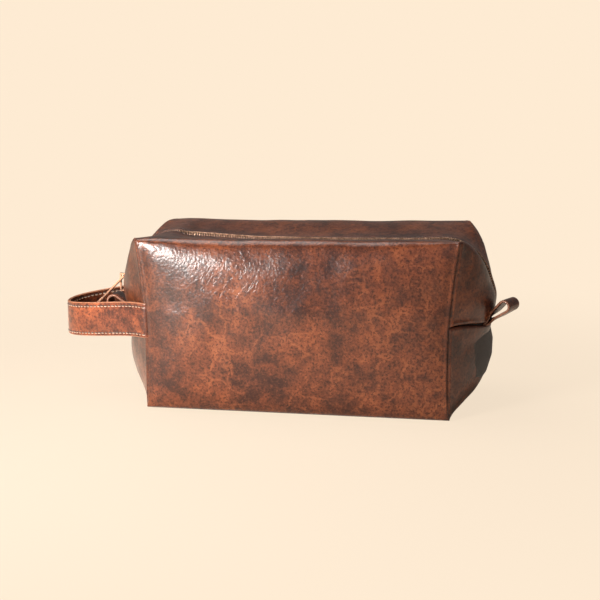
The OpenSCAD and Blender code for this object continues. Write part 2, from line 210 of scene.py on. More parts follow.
class Shader:
    """A material under construction, with one call for each kind of node."""

    def __init__(self, name):
        self.material = bpy.data.materials.new(name)
        self.material.use_nodes = True
        self.tree = self.material.node_tree
        self.bsdf = next(n for n in self.tree.nodes if n.type == "BSDF_PRINCIPLED")

    def add(self, kind, inputs=(), **settings):
        n = self.tree.nodes.new(kind)
        for key, value in settings.items():
            setattr(n, key, value)
        for socket, value in dict(inputs).items():
            self.put(value, n.inputs[socket])
        return n

    def put(self, value, socket):
        if isinstance(value, bpy.types.NodeSocket):
            self.tree.links.new(value, socket)
        else:
            socket.default_value = value

    def rest(self):
        """Position at rest, stored on the mesh, so the pattern stays on the leather in every pose."""
        return self.add("ShaderNodeAttribute", attribute_name="rest").outputs["Vector"]

    def local(self):
        return self.add("ShaderNodeTexCoord").outputs["Object"]

    def stretch(self, vector, scale, turn=(0, 0, 0)):
        n = self.add("ShaderNodeMapping", {"Vector": vector, "Rotation": turn, "Scale": scale})
        return n.outputs[0]

    def noise(self, vector, scale, detail=4.0, rough=0.55, warp=0.0):
        n = self.add("ShaderNodeTexNoise", {"Vector": vector, "Scale": scale, "Detail": detail,
                                            "Roughness": rough, "Distortion": warp})
        return n.outputs["Fac"]

    def cells(self, vector, scale, feature):
        n = self.add("ShaderNodeTexVoronoi", {"Vector": vector, "Scale": scale, "Randomness": 1.0},
                     feature=feature)
        return n.outputs["Distance"]

    def math(self, operation, a, b=0.5, c=0.5):
        n = self.add("ShaderNodeMath", operation=operation)
        for value, socket in zip((a, b, c), n.inputs):
            self.put(value, socket)
        return n.outputs[0]

    def span(self, value, low, high, to_low=0.0, to_high=1.0):
        inputs = {"Value": value, "From Min": low, "From Max": high, "To Min": to_low, "To Max": to_high}
        n = self.add("ShaderNodeMapRange", inputs, interpolation_type="SMOOTHSTEP")
        return n.outputs["Result"]

    def ramp(self, value, stops):
        n = self.add("ShaderNodeValToRGB", {"Fac": value})
        ramp = n.color_ramp
        while len(ramp.elements) < len(stops):
            ramp.elements.new(0.5)
        for element, (at, colour) in zip(ramp.elements, stops):
            element.position = at
            element.color = (*colour, 1)
        return n.outputs["Color"]

    def mix(self, factor, a, b, blend="MIX"):
        n = self.add("ShaderNodeMix", data_type="RGBA", blend_type=blend)
        for value, socket in ((factor, n.inputs[0]), (a, n.inputs[6]), (b, n.inputs[7])):
            if isinstance(value, tuple) and len(value) == 3:
                value = (*value, 1)
            self.put(value, socket)
        return n.outputs[2]

    def warped(self, vector, scale, amount):
        wobble = self.add("ShaderNodeTexNoise", {"Vector": vector, "Scale": scale, "Detail": 3.0})
        centred = self.vector("SUBTRACT", {0: wobble.outputs["Color"], 1: (0.5, 0.5, 0.5)})
        sized = self.vector("SCALE", {0: centred, "Scale": amount})
        return self.vector("ADD", {0: vector, 1: sized})

    def vector(self, operation, inputs, output="Vector"):
        return self.add("ShaderNodeVectorMath", inputs, operation=operation).outputs[output]

    def bump(self, height, distance, strength=1.0, below=None):
        n = self.add("ShaderNodeBump", {"Height": height, "Distance": distance, "Strength": strength})
        if below is not None:
            self.put(below, n.inputs["Normal"])
        return n.outputs[0]

    def finish(self, colour, roughness, normal=None, **constants):
        self.put(colour if not isinstance(colour, tuple) else (*colour, 1), self.bsdf.inputs["Base Color"])
        self.put(roughness, self.bsdf.inputs["Roughness"])
        if normal is not None:
            self.put(normal, self.bsdf.inputs["Normal"])
            self.put(normal, self.bsdf.inputs["Coat Normal"])
        for key, value in constants.items():
            self.bsdf.inputs[key.replace("_", " ")].default_value = value
        return self.material


DARK, DEEP = (0.020, 0.006, 0.004), (0.055, 0.014, 0.007)
MID, WARM, ORANGE = (0.104, 0.027, 0.011), (0.155, 0.040, 0.015), (0.27, 0.076, 0.027)


def leather(name, tint=(1, 1, 1), gloss=0.0, creases=True):
    """Oiled pull-up leather: cloudy dark patches, lighter veins, fine grain and soft creases."""
    s = Shader(name)
    at = s.rest()
    cloudy = s.noise(s.warped(at, 14, 0.03), 26, 7.0, 0.66, 0.7)
    patch = s.noise(s.warped(at, 60, 0.012), 90, 6.0, 0.68, 0.4)
    blend = s.math("ADD", s.math("MULTIPLY", cloudy, 0.5), s.math("MULTIPLY", patch, 0.5))
    colour = s.ramp(blend, [(0.36, DARK), (0.44, DEEP), (0.50, MID), (0.57, WARM), (0.68, ORANGE)])
    vein = s.cells(s.warped(at, 55, 0.034), 48, "DISTANCE_TO_EDGE")
    vein_mask = s.math("MULTIPLY", s.span(vein, 0.0, 0.11, 1.0, 0.0),
                       s.span(s.noise(at, 26, 3.0), 0.44, 0.60))
    colour = s.mix(s.math("MULTIPLY", vein_mask, 0.55), colour, ORANGE)
    speck = s.noise(at, 560, 4.0, 0.75)
    colour = s.mix(s.span(speck, 0.49, 0.63, 0.0, 0.82), colour, DARK)
    colour = s.mix(s.span(speck, 0.32, 0.46, 0.35, 0.0), colour, ORANGE)
    colour = s.mix(1.0, colour, tint, "MULTIPLY")
    pebble = s.cells(s.warped(at, 300, 0.0015), 520, "SMOOTH_F1")
    fine = s.math("MULTIPLY", s.noise(at, 900, 3.0, 0.6), 0.6)
    grain = s.bump(s.math("ADD", pebble, fine), 0.00022, 0.55)
    normal = s.bump(s.noise(s.warped(at, 20, 0.02), 70, 4.0), 0.0012, 0.35, grain)
    if creases:
        turned = s.stretch(s.warped(at, 40, 0.005), (1, 1, 1), (0, math.radians(-32), 0))
        streaks = s.noise(s.stretch(turned, (1, 1, 0.26)), 190, 2.0, 0.5)
        field = s.math("ABSOLUTE", s.math("SUBTRACT", streaks, 0.5))
        broken = s.span(s.noise(at, 110, 2.0), 0.44, 0.56)
        lines = s.math("MULTIPLY", s.span(field, 0.0, 0.03, 1.0, 0.0), broken)
        away = s.vector("ADD", {0: at, 1: (0.043, 0.06, -0.111)})
        away = s.vector("LENGTH", {0: s.stretch(away, (16, 9, 36))}, "Value")
        where = s.span(s.math("ADD", away, s.noise(at, 60, 3.0)), 1.0, 1.7, 1.0, 0.12)
        folds = s.math("MULTIPLY", lines, where)
        normal = s.bump(s.math("SUBTRACT", 1.0, folds), 0.0003, 0.18, normal)
    rough = s.span(blend, 0.38, 0.66, 0.37 - gloss, 0.27 - gloss)
    rough = s.math("ADD", rough, s.math("MULTIPLY", speck, 0.08))
    return s.finish(colour, rough, normal, Specular_IOR_Level=0.14, Coat_Weight=0.85,
                    Coat_Roughness=0.25, Coat_IOR=1.5)


def cut_leather(name, colour):
    """The raw edge of a leather strip, stained and burnished."""
    s = Shader(name)
    at = s.rest()
    fibre = s.noise(at, 500, 5.0, 0.7)
    shade = s.mix(s.span(fibre, 0.35, 0.68), tuple(c * 0.55 for c in colour), colour)
    return s.finish(shade, s.span(fibre, 0.3, 0.7, 0.4, 0.6), s.bump(fibre, 0.0002, 0.6), Coat_Weight=0.15)


def woven(name, colour, pitch, sheen=0.3):
    """Plain weave: two crossed rib patterns, with slubs in the colour and painted shade in the hollows between
    the ribs.
    """
    s = Shader(name)
    at = s.rest()
    ribs = []
    for turn in ((0, 0, 0), (0, math.radians(90), 0), (0, 0, math.radians(90))):
        wave = s.add("ShaderNodeTexWave", {"Vector": s.stretch(at, (1, 1, 1), turn), "Scale": 1 / pitch,
                                           "Distortion": 0.6, "Detail": 1.0})
        ribs.append(wave.outputs["Fac"])
    height = s.math("MAXIMUM", ribs[0], s.math("MAXIMUM", ribs[1], ribs[2]))
    slub = s.noise(at, 260, 4.0, 0.7)
    shade = s.mix(s.span(slub, 0.3, 0.7), tuple(c * 0.6 for c in colour),
                  tuple(min(1, c * 1.3) for c in colour))
    # painted shade: the colour darkens towards the low parts between the ribs
    shade = s.mix(s.span(height, 0.2, 0.9, 0.5, 0.0), shade, tuple(c * 0.3 for c in colour))
    return s.finish(shade, s.span(slub, 0.2, 0.8, 0.75, 0.92), s.bump(height, 0.00018, 0.7),
                    Sheen_Weight=sheen, Sheen_Roughness=0.5)


def metal(name, colour, worn, rough=0.3):
    """Plated metal with rubbed patches, small scratches and dull tarnish."""
    s = Shader(name)
    at = s.local()
    patina = s.noise(s.warped(at, 90, 0.004), 240, 5.0, 0.65)
    scratch = s.noise(s.stretch(at, (1, 1, 0.08), (0.4, 0.9, 0.2)), 2600, 2.0, 0.6)
    shade = s.mix(s.span(patina, 0.40, 0.62), worn, colour)
    bright = tuple(min(1.0, c * 1.35) for c in colour)
    shade = s.mix(s.span(scratch, 0.58, 0.70, 0.0, 0.4), shade, bright)
    roughness = s.math("ADD", s.span(patina, 0.3, 0.7, rough + 0.18, rough - 0.04),
                       s.math("MULTIPLY", scratch, 0.08))
    return s.finish(shade, roughness, s.bump(s.math("ADD", patina, scratch), 0.00008, 0.4), Metallic=1.0)


def thread_material(name, colour):
    s = Shader(name)
    at = s.rest()
    twist = s.stretch(at, (1, 1, 1), (0, math.radians(35), math.radians(20)))
    ply = s.add("ShaderNodeTexWave", {"Vector": twist, "Scale": 900.0, "Distortion": 1.0})
    fuzz = s.noise(at, 1500, 2.0)
    # painted shade: the colour darkens in the grooves between the twisted plies, where the ply wave is low
    shade = s.mix(s.span(ply.outputs["Fac"], 0.1, 0.9), tuple(c * 0.5 for c in colour), colour)
    return s.finish(shade, s.span(fuzz, 0.3, 0.7, 0.5, 0.7), s.bump(ply.outputs["Fac"], 0.0001, 0.6),
                    Sheen_Weight=0.2)


body_leather = leather("body_leather")
end_leather = leather("end_leather", (0.92, 0.88, 0.86))
strap_leather = leather("strap_leather", (1.5, 1.45, 1.5), creases=False)
# A darker, rougher copy of the strap leather for the inner layer; its darkness is painted shade for the inside
# of the loop.
strap_inside = leather("strap_inside", (0.62, 0.55, 0.52), gloss=-0.08, creases=False)
tab_leather = leather("tab_leather", (0.95, 0.9, 0.88), gloss=0.06, creases=False)
raw_edge = cut_leather("leather_edge", (0.50, 0.20, 0.10))
tab_edge = cut_leather("tab_edge", (0.30, 0.12, 0.065))
lining_cloth = woven("lining", (0.055, 0.042, 0.036), 0.0007)
tape_cloth = woven("zip_tape", (0.10, 0.052, 0.034), 0.0006)
teeth_metal = metal("zip_teeth", (0.62, 0.40, 0.28), (0.30, 0.18, 0.12), 0.34)
slider_metal = metal("zip_metal", (0.58, 0.32, 0.21), (0.38, 0.20, 0.13), 0.24)
stitch_thread = thread_material("thread", (0.10, 0.042, 0.026))
# Dark thread, darker still as painted shade in the grooves of the strap stitches.
strap_thread_and_hole_shade = thread_material("strap_thread_and_hole_shade", (0.03, 0.014, 0.010))
# Pale thread for the painted highlight strand under each strap stitch: light on the leather's lip below it.
painted_highlight_thread = thread_material("painted_highlight_thread", (0.62, 0.42, 0.30))


# ---------------------------------------------------------------- leather body

SIDE_D = near_edge(9)
MID_COLUMNS = list(np.linspace(-HALF_L + 10.5, HALF_L - 10.5, 96))
WALL_X = np.array([-HALF_L + d for d in SIDE_D] + MID_COLUMNS + [HALF_L - d for d in reversed(SIDE_D)])
# Distances across the skin from its seam to the zip edge, close together at both, and then as shares.
SKIN_D = np.array(near_edge(9) + [10.5, 13.5, 17, 21, 25, 29, 33, 37, 40.5, 43, 44.8, 46, 47, 47.8, 48.5, 49.2,
                                  49.9, 50.6, 51.3, 52, 52.6, 53.1, 53.6, SKIN_WIDTH])
SKIN_W = SKIN_D / SKIN_WIDTH
# The edge rolled under beside the zip: y and depth below the skin.
ROLL = [(-4.62, 0.12), (-4.38, 0.42), (-4.30, 0.9), (-4.36, 1.5), (-4.7, 2.1)]
# Columns beyond this x end on a bend of the zip, and the others on its straight run.
BEND_FROM = 99.0
# The top corner's fold meets the bend between these angles, in degrees.
FOLD_FROM, FOLD_TO = 36, 50


def skin(e, q, across):
    """Upper skin points from edge points e to zip points q (x, z), whose outward directions are across."""
    w = SKIN_W[None, :]
    x = e[:, None, 0] + (q[:, None, 0] - e[:, None, 0]) * swell(w)
    y = e[:, None, 1] + (-ZIP_EDGE - e[:, None, 1]) * w
    z = e[:, None, 2] + (q[:, None, 1] - e[:, None, 2]) * ease(w) + zip_sag(q[:, None, 0]) * ease(w)
    rows = [np.stack([x, y, z], -1)]
    for ry, depth in ROLL:
        px = q[:, 0] - across[:, 0] * depth
        pz = q[:, 1] - across[:, 1] * depth + zip_sag(q[:, 0])
        rows.append(np.stack([px, np.full_like(px, ry), pz], -1)[:, None, :])
    return np.concatenate(rows, 1)


def arc_point(a):
    """Left zip arc point (x, z) and outward direction at angle a in degrees."""
    c, s = np.cos(np.radians(a)), np.sin(np.radians(a))
    return np.stack([-(ARC_X + ARC_R * c), ARC_Z + ARC_R * s], -1), np.stack([-c, s], -1)


def front_bulge(x, z):
    """The stuffed front stands out between its edges, and is pinched towards its corners."""
    side = np.maximum(0.01, seam_x(z) - np.abs(x))
    top = np.maximum(0.01, BAG_H - z)
    foot = np.maximum(0.01, z * 1.4)
    reach = 1 / (1 / side + 1 / top + 1 / foot)
    return 15.0 * (1 - np.exp(-reach / 26))


def main_grid():
    """Wall, top fold and top panel of the front half, columns across the bag, rows from the base to the zip."""
    share = WALL_X / HALF_L
    rows = []
    for b in np.radians(np.linspace(0, 90, 6)):
        z = BASE_FOLD * (1 - math.cos(b)) + BASE_Z
        y = -(HALF_W - BASE_FOLD) - BASE_FOLD * math.sin(b)
        rows.append(np.stack([share * seam_x(z), np.full_like(share, y), np.full_like(share, z)], -1))
    r = top_fold(WALL_X)
    for t in np.linspace(0, 1, 76)[1:]:
        z = BASE_FOLD + (BAG_H - r - BASE_FOLD) * t
        x = share * seam_x(z)
        rows.append(np.stack([x, np.full_like(x, -HALF_W), z], -1))
    for a in np.radians(np.linspace(0, 90, 10)[1:]):
        z = BAG_H - r + r * math.sin(a)
        rows.append(np.stack([share * seam_x(z), -(HALF_W - r + r * math.cos(a)), z], -1))
    wall = np.array(rows).transpose(1, 0, 2)
    wall[:, :, 1] -= front_bulge(wall[:, :, 0], wall[:, :, 2])
    x = WALL_X
    outer = np.abs(x) > BEND_FROM
    angle = FOLD_TO + (90 - FOLD_TO) * np.clip((HALF_L - np.abs(x)) / (HALF_L - BEND_FROM), 0, 1)
    q, across = arc_point(angle)
    q[:, 0] *= -np.sign(x)
    across[:, 0] *= -np.sign(x)
    q[~outer] = np.stack([x[~outer] * ARC_X / BEND_FROM, np.full((~outer).sum(), ARC_Z + ARC_R)], -1)
    across[~outer] = (0, 1)
    top = skin(wall[:, -1, :], q, across)
    return wall, top


def side_grid():
    """Left shoulder and cheek, columns from the end seam up the corner seam to the corner."""
    low = np.array([SEAM_Z + d for d in near_edge(9)] + [77, 79.5, 82])
    e = [[-seam_x(z), -HALF_W, z] for z in low]
    angle = list(np.degrees(np.arcsin((low - ARC_Z) / ARC_R)))
    corner_r = float(top_fold(HALF_L))
    top = BAG_H - corner_r
    start = math.degrees(math.asin((ARC_FOOT - ARC_Z) / ARC_R))
    for t in np.linspace(0, 1, 26):
        z = ARC_FOOT + (top - ARC_FOOT) * t
        e.append([-seam_x(z), -HALF_W, z])
        angle.append(start + (FOLD_FROM - start) * t)
    for k in range(1, 7):
        a = math.radians(15 * k)
        z = top + corner_r * math.sin(a)
        e.append([-seam_x(z), -(HALF_W - corner_r + corner_r * math.cos(a)), z])
        angle.append(FOLD_FROM + (FOLD_TO - FOLD_FROM) * k / 6)
    q, across = arc_point(np.array(angle))
    return skin(np.array(e), q, across), np.array([p[2] for p in e])


def leather_half():
    """Front half of the upper skin and the wall, as one sheet with the cheeks of both ends."""
    wall, top = main_grid()
    side, side_z = side_grid()
    nx, nr = wall.shape[0], wall.shape[1]
    nt = top.shape[1] - 1
    main = np.concatenate([wall, top[:, 1:, :]], 1)
    index = np.arange(nx * (nr + nt)).reshape(nx, nr + nt)
    points = [main.reshape(-1, 3)]
    faces = [grid_faces(index)]
    # lift is how far a point stands proud along its own normal, quiet how much the leather may wander there
    on_wall = np.arange(nr + nt)[None, :] < nr
    d_side = np.minimum(HALF_L - WALL_X, HALF_L + WALL_X)[:, None] * np.ones((1, nr + nt))
    fade = np.concatenate([np.ones(nr - 6), np.linspace(1, 0, 6), np.zeros(nt)])[None, :]
    lift = seam_lip(d_side, 0.55) * fade * np.where(on_wall, smooth((main[:, :, 2] - 1) / 9), 1)
    w_rows = np.concatenate([np.zeros(nr), SKIN_D[1:], np.full(len(ROLL), SKIN_WIDTH)])[None, :]
    quiet = smooth(d_side / 14) * smooth((SKIN_WIDTH - w_rows) / 16)
    lift = lift + stitch_valley(main[:, :, 1]) * (w_rows > 30)
    quiet = quiet * np.where(on_wall, smooth(main[:, :, 2] / 12), 1)
    lifts, quiets = [lift.ravel()], [quiet.ravel()]
    for sign in (-1, 1):
        n0 = sum(len(p) for p in points)
        grid = side.copy()
        if sign > 0:
            grid[:, :, 0] *= -1
        ns, nw = grid.shape[0], grid.shape[1]
        numbers = n0 + np.arange((ns - 1) * nw).reshape(ns - 1, nw)
        last = index[0 if sign < 0 else nx - 1, nr - 1:]
        block = grid_faces(np.concatenate([numbers, last[None, :]], 0))
        faces.append(block if sign < 0 else block[:, ::-1])
        points.append(grid[:-1].reshape(-1, 3))
        w_d = np.concatenate([SKIN_D, np.full(len(ROLL), SKIN_WIDTH)])[None, :]
        up = np.clip((BAG_H + 1 - side_z[:-1]) / 6, 0, 1)[:, None]
        seam = seam_lip(w_d, 0.25) * up
        d_z = (side_z[:-1] - SEAM_Z)[:, None]
        level = 0.9 * hump(d_z, 2.4, 1.7) - 0.7 * hump(d_z, 0, 0.6) - 2.2 * hump(d_z, 0, 0.1)
        # only the right end's upper bulge is puffed
        puff = (2.6 if sign > 0 else 0) * np.sin(np.pi * w_d / SKIN_WIDTH) * smooth(d_z / 22) * up
        ridge = stitch_valley(grid[:-1, :, 1])
        lifts.append((seam + puff + level * smooth(w_d / 3) * (w_d < SKIN_WIDTH) + ridge).ravel())
        quiets.append((smooth(w_d / 14) * smooth((SKIN_WIDTH - w_d) / 16) * smooth(d_z / 10)).ravel())
    points, faces = np.concatenate(points), np.concatenate(faces)
    faces = outward(points, faces)
    n = vertex_normals(points, faces)
    wander = 0.9 * fractal(points, 46, 1) + 0.45 * fractal(points, 19, 2)
    height = np.concatenate(lifts) + wander * np.concatenate(quiets)
    return settle(points + n * height[:, None]), faces


def lower_end():
    """Left end below its level seam, with the left half of the base."""
    d = np.array(near_edge(9) + list(np.linspace(10.5, 48, 16)) + [51.5, 55])
    across = np.concatenate([-1 + d / HALF_W, [0], 1 - d[::-1] / HALF_W])
    d_all = np.concatenate([d, [HALF_W], d[::-1]])
    # kind is 0 on the base and 1 on the end, so that the lips belong to the end alone
    rows, kind = [], []
    foot = HALF_W - BASE_FOLD
    w_foot = (1 - np.abs(across)) * foot / (foot - ZIP_EDGE)
    reach = seam_x(0) + (float(crest_x(np.array(BASE_Z))) - seam_x(0)) * swell(w_foot)
    for share in (0, 0.2, 0.4, 0.6, 0.75, 0.86, 0.93, 0.97, 0.99):
        rows.append([[-share * r, u * foot, BASE_Z] for u, r in zip(across, reach)])
        kind.append(0.0)
    top = [SEAM_Z - k for k in near_edge(9)][::-1]
    levels = [BASE_Z, 0.8, 1.8, 3.2, 5, 7.5] + list(np.linspace(10.5, 57.5, 22)) + top
    for z in levels:
        in_fold = math.sqrt(max(0, BASE_FOLD**2 - (BASE_FOLD - z) ** 2))
        width = HALF_W if z >= BASE_FOLD else foot + in_fold
        y = across * width
        w = (width - np.abs(y)) / (width - ZIP_EDGE)
        x = seam_x(z) + (float(crest_x(np.array(z - 1e-6))) - seam_x(z)) * swell(w)
        rows.append(np.stack([-x, y, np.full_like(x, z)], -1).tolist())
        kind.append(float(smooth(z / 4)))
    grid = np.array(rows)
    index = np.arange(grid.shape[0] * grid.shape[1]).reshape(grid.shape[:2])
    points, faces = grid.reshape(-1, 3), grid_faces(index)
    faces = outward(points, faces)
    n = vertex_normals(points, faces)
    kind = np.array(kind)[:, None]
    d_z = SEAM_Z - grid[:, :, 2]
    level = 0.35 * hump(d_z, 2.6, 1.3) - 1.3 * hump(d_z, 0, 0.9) - 2 * hump(d_z, 0, 0.1)
    lift = seam_lip(d_all[None, :], 0.25) * kind * smooth((grid[:, :, 2] - 1) / 9) + level * (kind > 0)
    quiet = smooth(d_all[None, :] / 14) * smooth(d_z / 10) * smooth(grid[:, :, 2] / 12)
    wander = 1.1 * fractal(points, 40, 3) + 0.5 * fractal(points, 17, 4)
    return settle(points + n * (lift.ravel() + wander * quiet.ravel())[:, None]), faces


def open_with(obj):
    """Bakes obj's placement into its mesh."""
    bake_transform(obj)


half_points, half_faces = leather_half()
for side in ("front", "back"):
    p, f = (half_points, half_faces) if side == "front" else mirrored(half_points, half_faces, 1)
    skin_piece = thicken(make("leather_" + side, p, f, body_leather), LEATHER_T)
    open_with(skin_piece)
    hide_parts(side + "_panel_lower", side + "_panel_upper", "top_panel_" + side,
                "left_shoulder_" + side, "right_shoulder_" + side, "left_cheek_" + side, "right_cheek_" + side)

end_points, end_faces = lower_end()
for side in ("left", "right"):
    p, f = (end_points, end_faces) if side == "left" else mirrored(end_points, end_faces, 0)
    piece = thicken(make("lower_end_" + side, p, f, end_leather), LEATHER_T)
    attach(piece, "shell")
    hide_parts(side + "_end_lower", "bottom_panel")


# ---------------------------------------------------------------- zip

FOOT_DEG = math.degrees(math.asin((SEAM_Z + 0.6 - ARC_Z) / ARC_R))
ARC_LEN = math.radians(90 - FOOT_DEG) * ARC_R
ZIP_LEN = 2 * ARC_LEN + 2 * ARC_X


def zip_at(s, depth):
    """Point (x, z) on the zip line at length s from its left foot, that deep below the leather."""
    s = np.asarray(s, float)
    left = s < ARC_LEN
    right = s > ARC_LEN + 2 * ARC_X
    a = np.where(left, FOOT_DEG + np.degrees(s / ARC_R), FOOT_DEG + np.degrees((ZIP_LEN - s) / ARC_R))
    a = np.radians(a)
    r = ARC_R - depth
    x = np.where(left, -(ARC_X + r * np.cos(a)), np.where(right, ARC_X + r * np.cos(a), s - ARC_LEN - ARC_X))
    z = np.where(left | right, ARC_Z + r * np.sin(a), ARC_Z + r)
    return x, z + zip_sag(x)


def along_zip(local):
    """local columns: s, y, depth. Returns points."""
    x, z = zip_at(local[:, 0], local[:, 2])
    return settle(np.stack([x, local[:, 1], z], -1))


# Cross-section of the front tape: y and depth below the leather.
TAPE = [(-9.4, 2.9), (-8.0, 2.75), (-6.2, 2.6), (-4.6, 2.45), (-3.7, 2.3), (-3.2, 2.1), (-2.4, 1.95),
        (-1.5, 1.95), (-0.95, 2.1), (-0.8, 2.5)]


def tape_half():
    steps = np.linspace(0.5, ZIP_LEN - 0.5, 260)
    local = np.array([[s, y, o] for s in steps for y, o in TAPE])
    index = np.arange(len(local)).reshape(len(steps), len(TAPE))
    return along_zip(local), grid_faces(index)


# Plan of a tooth: y and half width along the zip.
TOOTH = [(-3.0, 0.40), (-2.85, 0.52), (-1.1, 0.50), (-0.75, 0.34), (-0.35, 0.36), (-0.05, 0.47), (0.35, 0.45),
         (0.6, 0.22)]
TOOTH_PITCH = 2.0
TEETH_MARGIN = 2.2


def teeth_half(shift):
    outline = [(y, -h) for y, h in TOOTH] + [(y, h) for y, h in reversed(TOOTH)]
    cy = sum(y for y, _ in outline) / len(outline)
    rings = [(0.30, 0.72), (0.42, 0.92), (0.75, 1.0), (2.15, 1.0)]
    m = len(outline)
    points, faces = [], []
    s = TEETH_MARGIN + shift
    while s < ZIP_LEN - TEETH_MARGIN:
        n0 = len(points)
        for depth, size in rings:
            points += [(s + h * size, cy + (y - cy) * (0.5 + 0.5 * size), depth) for y, h in outline]
        for k in range(len(rings) - 1):
            for j in range(m):
                a, b = n0 + k * m + j, n0 + k * m + (j + 1) % m
                faces.append((a, b, b + m, a + m))
        # caps: fans of quads across the outline
        for k in (0, len(rings) - 1):
            for j in range(m // 2 - 1):
                a, b, c, d = j, j + 1, m - 2 - j, m - 1 - j
                quad = tuple(n0 + k * m + v for v in (a, b, c, d))
                faces.append(quad if k else quad[::-1])
        s += TOOTH_PITCH
    return along_zip(np.array(points)), faces


def capsule(start, end, up, radius, rise):
    """A stitch from start to end: six-sided thread that dips into its holes at both ends."""
    start, end, up = (np.array(v, float) for v in (start, end, up))
    along = end - start
    side = np.cross(along, up)
    side /= np.linalg.norm(side)
    up = np.cross(side, along)
    up /= np.linalg.norm(up)
    points, faces = [], []
    stations = [(0.0, -1.1, 0.35), (0.06, -0.35, 0.8), (0.25, 0.6, 1.0), (0.5, 0.85, 1.05), (0.75, 0.6, 1.0),
                (0.94, -0.35, 0.8), (1.0, -1.1, 0.35)]
    for t, h, size in stations:
        c = start + along * t + up * (rise * h)
        for k in range(6):
            a = math.pi / 3 * k
            points.append(c + (side * math.cos(a) * 1.15 + up * math.sin(a) * 0.8) * radius * size)
    for k in range(len(stations) - 1):
        for j in range(6):
            a, b = k * 6 + j, k * 6 + (j + 1) % 6
            faces.append((a, b, b + 6, a + 6))
    last = 6 * (len(stations) - 1)
    faces += [(0, 5, 4, 3), (0, 3, 2, 1)]
    faces += [(last, last + 1, last + 2, last + 3), (last, last + 3, last + 4, last + 5)]
    return points, faces


def stitch_row(pairs, radius, rise):
    points, faces = [], []
    for start, end, up in pairs:
        p, f = capsule(start, end, up, radius, rise)
        faces += [tuple(v + len(points) for v in q) for q in f]
        points += p
    return np.array(points), np.array(faces)


TOP_MARGIN, TOP_STITCH, TOP_PITCH = 34.0, 2.9, 4.0


def top_stitches():
    """The row beside the zip, from bend to bend."""
    pairs = []
    s = TOP_MARGIN
    while s < ZIP_LEN - TOP_MARGIN:
        ends = []
        for at in (s, s + TOP_STITCH):
            # the skin stands a little proud of the zip line at the stitches
            x, z = zip_at(at, -0.06)
            ends.append(np.array([float(x), -TOP_STITCH_Y, float(z) + 0.05]))
        x0, z0 = zip_at(s + 1.4, 0.0)
        x1, z1 = zip_at(s + 1.4, -1.0)
        pairs.append((ends[0], ends[1], (float(x1 - x0), 0, float(z1 - z0))))
        s += TOP_PITCH
    points, faces = stitch_row(pairs, 0.30, 0.16)
    return settle(points), faces


tape_points, tape_faces = tape_half()
row_points, row_faces = top_stitches()
for side in ("front", "back"):
    turn = side == "back"
    p, f = mirrored(tape_points, tape_faces, 1) if turn else (tape_points, tape_faces)
    tape = thicken(make("zip_tape_" + side, p, outward(p, f), tape_cloth), TAPE_T)
    open_with(tape)
    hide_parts("tape_" + side, "left_end_tape", "right_end_tape")
    p, f = teeth_half(0.0 if turn else 1.0)
    p, f = mirrored(p, f, 1) if turn else (p, np.array(f))
    teeth = make("zip_teeth_" + side, p, f, teeth_metal)
    open_with(teeth)
    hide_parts("teeth_" + side, "left_end_teeth", "right_end_teeth")
    p, f = mirrored(row_points, row_faces, 1) if turn else (row_points, row_faces)
    row = make("zip_stitches_" + side, p, f, stitch_thread)
    open_with(row)
    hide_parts("topstitch_" + side)

for name in ("slider_body", "slider_bail", "puller"):
    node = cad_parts[name]
    node.data.materials.clear()
    node.data.materials.append(slider_metal)
    edge = node.modifiers.new("edge", "BEVEL")
    edge.width, edge.segments, edge.limit_method = 0.00022, 2, "ANGLE"


# ---------------------------------------------------------------- lining

LINING_DEPTH = 3.6


def lining_upper():
    """A coarser copy of the front half, inside it."""
    wall, top = main_grid()
    side, _ = side_grid()
    nr = wall.shape[1]
    keep = list(range(6, nr, 4))
    if keep[-1] != nr - 1:
        keep.append(nr - 1)
    cols = list(range(0, wall.shape[0], 3))
    if cols[-1] != wall.shape[0] - 1:
        cols.append(wall.shape[0] - 1)
    w_keep = list(range(3, len(SKIN_W), 3))
    main = np.concatenate([wall[cols][:, keep], top[cols][:, w_keep]], 1)
    index = np.arange(main.shape[0] * main.shape[1]).reshape(main.shape[:2])
    points, faces = [main.reshape(-1, 3)], [grid_faces(index)]
    for sign in (-1, 1):
        grid = side[:, [0] + w_keep].copy()[::3]
        if sign > 0:
            grid[:, :, 0] *= -1
        n0 = sum(len(p) for p in points)
        numbers = n0 + np.arange(grid.shape[0] * grid.shape[1]).reshape(grid.shape[:2])
        last = index[0 if sign < 0 else index.shape[0] - 1, len(keep) - 1:]
        block = grid_faces(np.concatenate([numbers, last[None, :]], 0))
        faces.append(block if sign < 0 else block[:, ::-1])
        points.append(grid.reshape(-1, 3))
    points, faces = np.concatenate(points), np.concatenate(faces)
    faces = outward(points, faces)
    n = vertex_normals(points, faces)
    crinkle = 0.5 * fractal(points, 24, 5)
    return settle(points - n * (LINING_DEPTH + crinkle)[:, None]), faces


